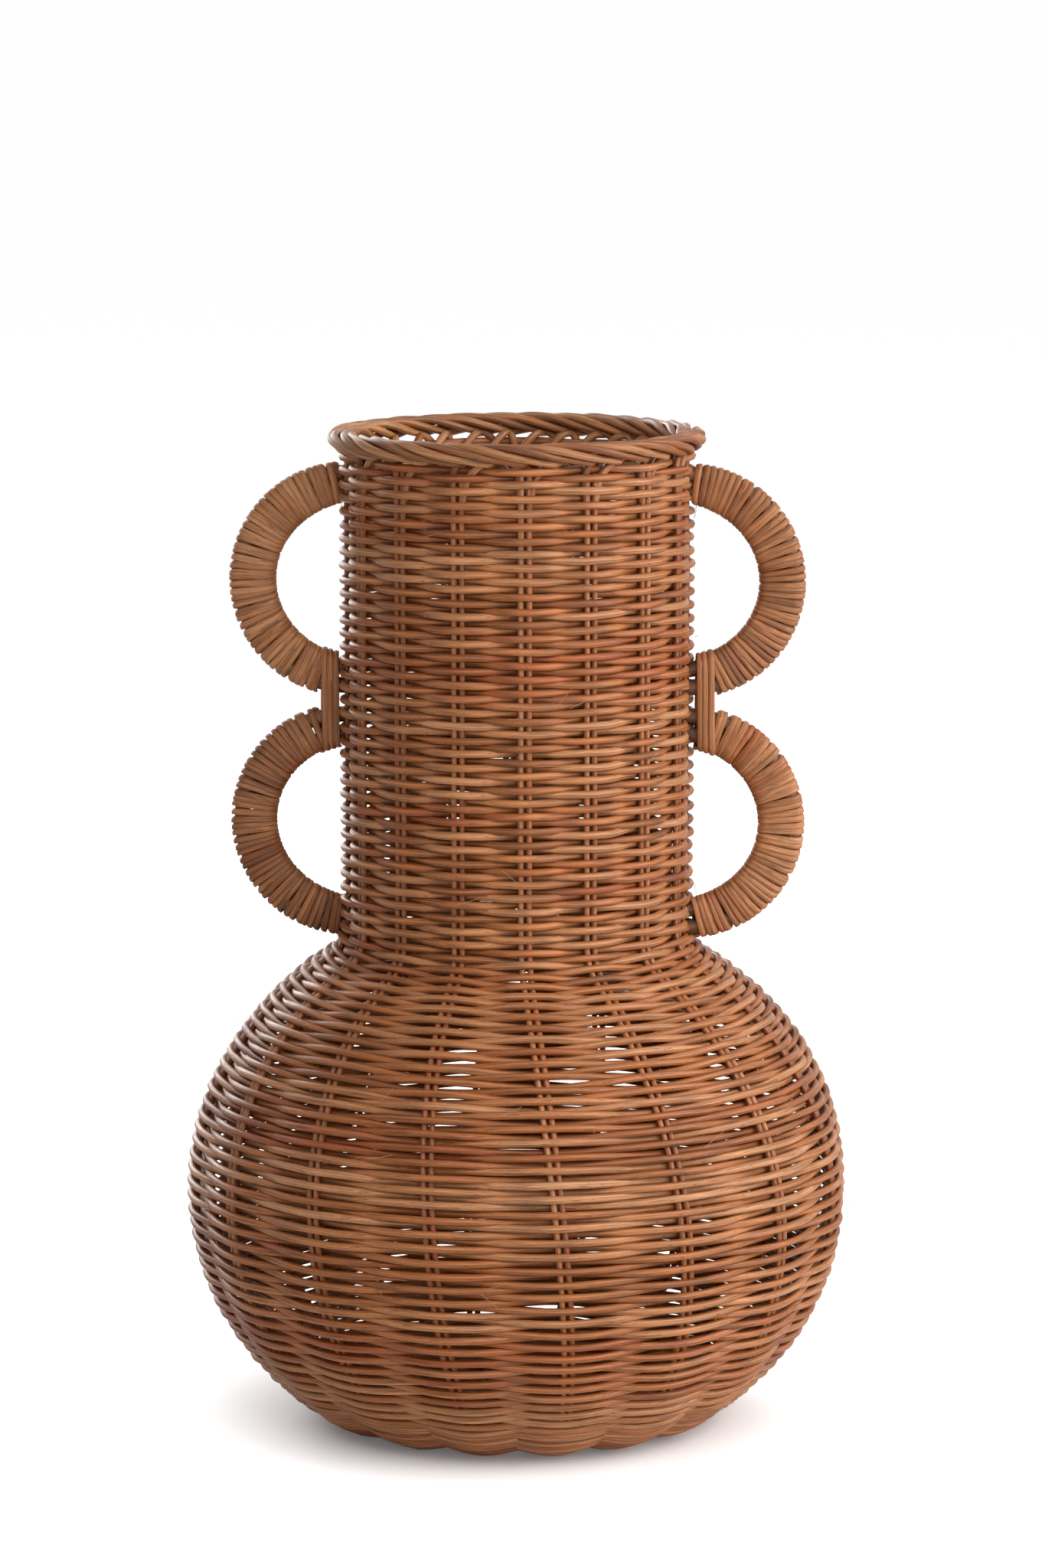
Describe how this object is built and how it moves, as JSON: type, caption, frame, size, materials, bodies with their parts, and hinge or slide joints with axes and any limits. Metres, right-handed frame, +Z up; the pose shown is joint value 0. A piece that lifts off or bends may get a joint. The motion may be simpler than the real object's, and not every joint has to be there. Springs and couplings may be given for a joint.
{
  "type": "rattan vase",
  "caption": "Woven rattan vase with a round body on a flat foot, a tall straight neck under a plaited rim, and wrapped half-hoop handles on both sides of the neck.",
  "frame": {"origin": "middle of the foot, on the surface that the vase stands on", "axes": "+Z up along the axis of the vase, +X towards the right handles, -Y the front"},
  "size_m": [0.2886, 0.2886, 0.4439],
  "materials": {
    "weave_rattan": "round rattan core, woven, matt with a faint sheen",
    "stake_cane": "thin round rattan core, matt",
    "rim_rattan": "plaited rattan core, matt with a faint sheen",
    "hoop_cane": "bent cane, matt",
    "wrap_cane": "split cane strand, wound, satin"
  },
  "bodies": {
    "root": {"base_stick_1": "stake_cane", "base_stick_2": "stake_cane", "base_stick_3": "stake_cane", "base_stick_4": "stake_cane", "base_stick_5": "stake_cane", "base_stick_6": "stake_cane", "base_stick_7": "stake_cane", "base_stick_8": "stake_cane", "base_weave": "weave_rattan", "foot_band": "weave_rattan", "body_weave_1": "weave_rattan", "body_weave_2": "weave_rattan", "body_weave_3": "weave_rattan", "body_weave_4": "weave_rattan", "neck_weave_1": "weave_rattan", "neck_weave_2": "weave_rattan", "stake_01": "stake_cane", "stake_02": "stake_cane", "stake_03": "stake_cane", "stake_04": "stake_cane", "stake_05": "stake_cane", "stake_06": "stake_cane", "stake_07": "stake_cane", "stake_08": "stake_cane", "stake_09": "stake_cane", "stake_10": "stake_cane", "stake_11": "stake_cane", "stake_12": "stake_cane", "stake_13": "stake_cane", "stake_14": "stake_cane", "stake_15": "stake_cane", "stake_16": "stake_cane", "rim_border": "rim_rattan", "hoop_lower_outer_right": "hoop_cane", "hoop_lower_inner_right": "hoop_cane", "hoop_upper_outer_right": "hoop_cane", "hoop_upper_inner_right": "hoop_cane", "wrap_lower_right": "wrap_cane", "wrap_upper_right": "wrap_cane", "lashing_right": "wrap_cane", "hoop_lower_outer_left": "hoop_cane", "hoop_lower_inner_left": "hoop_cane", "hoop_upper_outer_left": "hoop_cane", "hoop_upper_inner_left": "hoop_cane", "wrap_lower_left": "wrap_cane", "wrap_upper_left": "wrap_cane", "lashing_left": "wrap_cane"}
  },
  "joints": []
}
